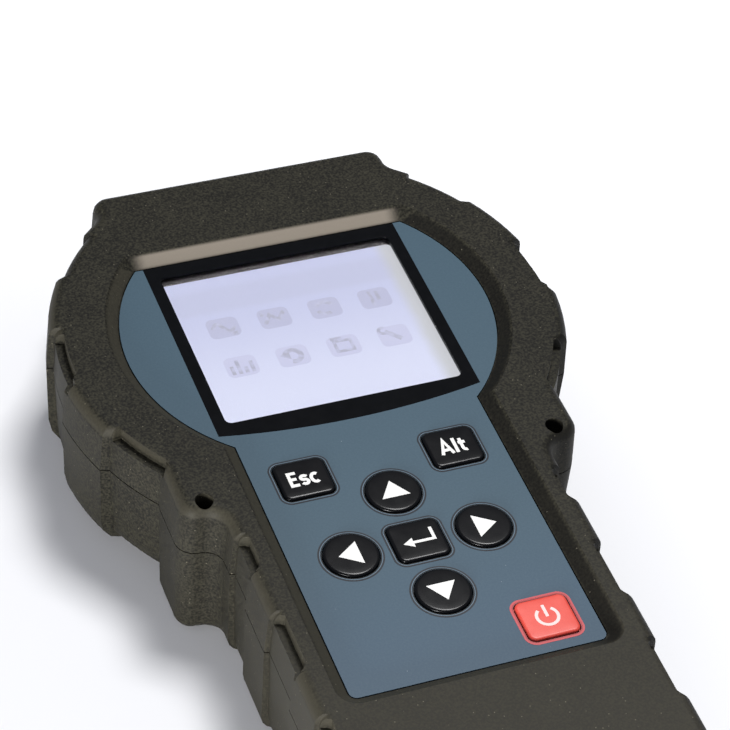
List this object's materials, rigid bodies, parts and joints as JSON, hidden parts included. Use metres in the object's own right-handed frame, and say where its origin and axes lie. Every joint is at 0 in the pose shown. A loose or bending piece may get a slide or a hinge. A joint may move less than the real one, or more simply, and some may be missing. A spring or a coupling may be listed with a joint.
{
  "type": "handheld vibration meter",
  "caption": "Handheld vibration meter with a round head, ribbed grip, display, keypad, sensor socket and battery box.",
  "frame": {"origin": "middle of the part's box, on the casing's back", "axes": "+Z out of the display, +Y from the grip towards the head and its sockets, +X to the right of someone reading the display"},
  "size_m": [0.122, 0.2408, 0.04],
  "materials": {
    "casing": "fine matte moulded texture, charcoal",
    "seal": "plain",
    "screw": "zinc plated",
    "plate": "satin blue-grey overlay",
    "mask": "glossy black print",
    "lens": "clear",
    "bezel": "plain",
    "display": "lit pale lavender",
    "key": "glossy black",
    "power_key": "glossy coral red",
    "dome_sheet": "clear film with metal domes",
    "board": "green solder mask",
    "connector": "natural nylon",
    "shield": "tinned",
    "black_plastic": "plain",
    "cell": null,
    "contact": "nickel plated",
    "socket_metal": "nickel plated",
    "insulator": "natural",
    "gold": "gold plated"
  },
  "bodies": {
    "casing": {"front_shell": "casing", "rear_shell": "casing", "case_seal": "seal", "case_screws": "screw", "face_plate": "plate", "window_mask": "mask", "window_lens": "lens", "window_gasket": "seal", "lcd_frame": "bezel", "lcd_panel": "display", "dome_sheet": "dome_sheet", "keypad_board": "board", "board_connector": "connector", "main_board": "board", "board_screws": "screw", "input_shield": "shield", "buzzer": "black_plastic", "battery_cells": "cell", "battery_contacts": "contact", "sensor_socket_body": "socket_metal", "sensor_socket_insulator": "insulator", "sensor_socket_contact": "gold", "sensor_socket_nut": "socket_metal", "usb_socket": "shield", "headphone_socket": "black_plastic"},
    "battery_cover": {"battery_cover": "casing", "battery_cover_screws": "screw"},
    "key_esc": {"key_esc": "key"},
    "key_alt": {"key_alt": "key"},
    "key_up": {"key_up": "key"},
    "key_left": {"key_left": "key"},
    "key_enter": {"key_enter": "key"},
    "key_right": {"key_right": "key"},
    "key_down": {"key_down": "key"},
    "key_power": {"key_power": "power_key"}
  },
  "joints": [
    {"name": "key_esc_press", "type": "slide", "parent": "casing", "child": "key_esc", "axis": [0, 0, -1], "range_m": [0, 0.0004], "stiffness_N_per_m": 2000},
    {"name": "key_alt_press", "type": "slide", "parent": "casing", "child": "key_alt", "axis": [0, 0, -1], "range_m": [0, 0.0004], "stiffness_N_per_m": 2000},
    {"name": "key_up_press", "type": "slide", "parent": "casing", "child": "key_up", "axis": [0, 0, -1], "range_m": [0, 0.0004], "stiffness_N_per_m": 2000},
    {"name": "key_left_press", "type": "slide", "parent": "casing", "child": "key_left", "axis": [0, 0, -1], "range_m": [0, 0.0004], "stiffness_N_per_m": 2000},
    {"name": "key_enter_press", "type": "slide", "parent": "casing", "child": "key_enter", "axis": [0, 0, -1], "range_m": [0, 0.0004], "stiffness_N_per_m": 2000},
    {"name": "key_right_press", "type": "slide", "parent": "casing", "child": "key_right", "axis": [0, 0, -1], "range_m": [0, 0.0004], "stiffness_N_per_m": 2000},
    {"name": "key_down_press", "type": "slide", "parent": "casing", "child": "key_down", "axis": [0, 0, -1], "range_m": [0, 0.0004], "stiffness_N_per_m": 2000},
    {"name": "key_power_press", "type": "slide", "parent": "casing", "child": "key_power", "axis": [0, 0, -1], "range_m": [0, 0.0004], "stiffness_N_per_m": 2000},
    {"name": "battery_cover_lift", "type": "slide", "parent": "casing", "child": "battery_cover", "axis": [0, 0, -1], "range_m": [0, 0.02]}
  ]
}
